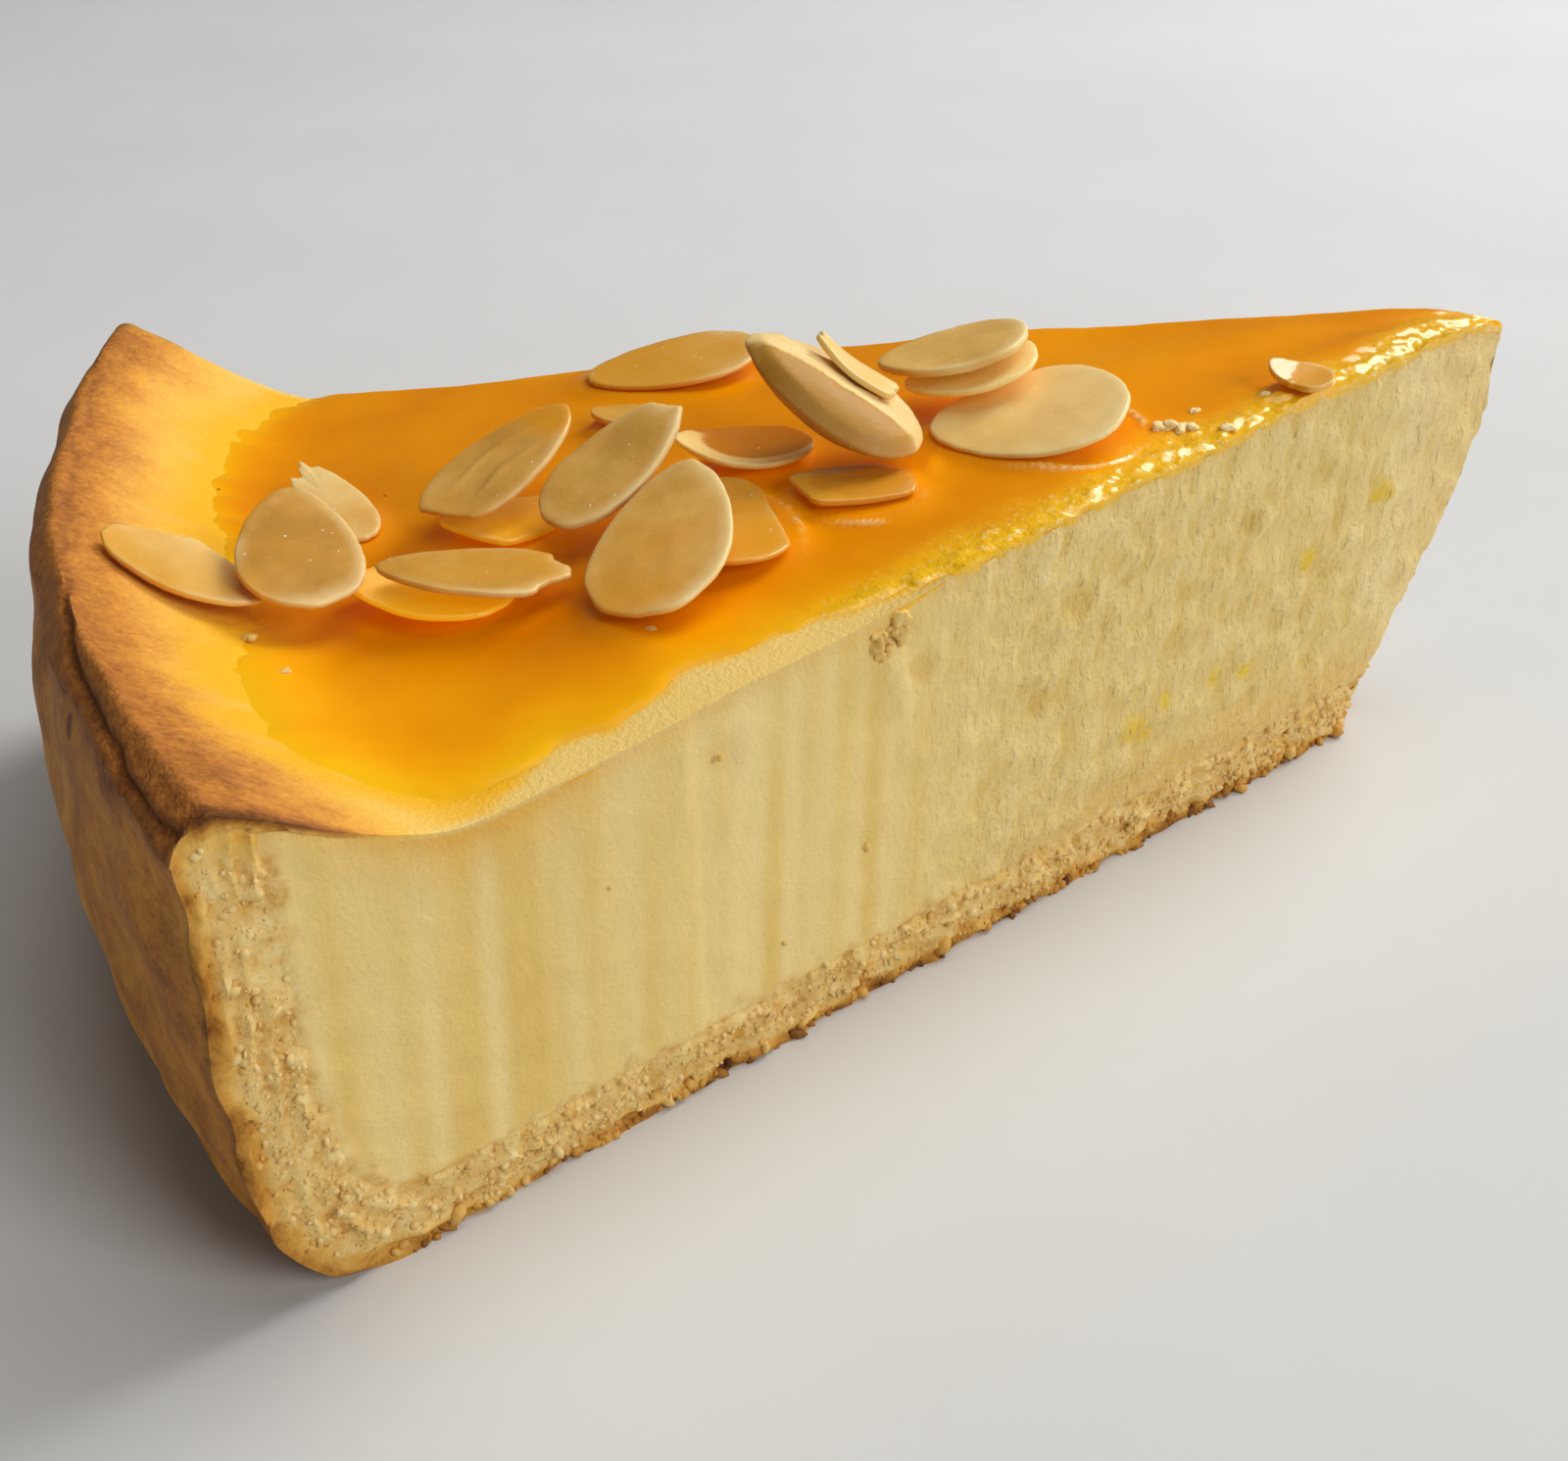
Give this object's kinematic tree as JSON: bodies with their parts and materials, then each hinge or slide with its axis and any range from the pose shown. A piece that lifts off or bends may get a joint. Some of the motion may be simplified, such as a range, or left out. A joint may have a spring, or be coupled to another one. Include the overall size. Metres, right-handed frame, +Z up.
{
  "type": "cheesecake slice",
  "caption": "Wedge of baked cheesecake: shortcrust wall and base, set cheese filling, fruit glaze and flaked almonds on top.",
  "frame": {"origin": "middle of the footprint's box on the flat underside of the base", "axes": "+Z up; +X from the browned outer wall to the cut tip, along the wedge's bisector; -Y toward the near cut"},
  "size_m": [0.1314, 0.0892, 0.0465],
  "materials": {
    "crust": "baked shortcrust, golden with brown edges, crumbly and pale where cut",
    "filling": "set cheese filling, pale yellow, matt and torn where cut",
    "glaze": "clear orange-yellow fruit glaze, wet gloss",
    "almond": "sliced almond, cream to light tan, sticky sheen"
  },
  "bodies": {
    "root": {"crust": "crust", "filling": "filling", "glaze": "glaze", "almond_on_rim": "almond", "almond_sliver_behind": "almond", "almond_under_long": "almond", "almond_long_flat": "almond", "almond_round": "almond", "almond_under_pointed": "almond", "almond_pointed": "almond", "almond_beside_oval": "almond", "almond_big_oval": "almond", "almond_narrow": "almond", "almond_sunken": "almond", "almond_curled": "almond", "almond_small_far": "almond", "almond_long_far": "almond", "almond_large_flat": "almond", "almond_lower_pair": "almond", "almond_upper_pair": "almond", "almond_thick": "almond", "almond_sliver_on_top": "almond", "almond_curled_bit": "almond"}
  },
  "joints": []
}
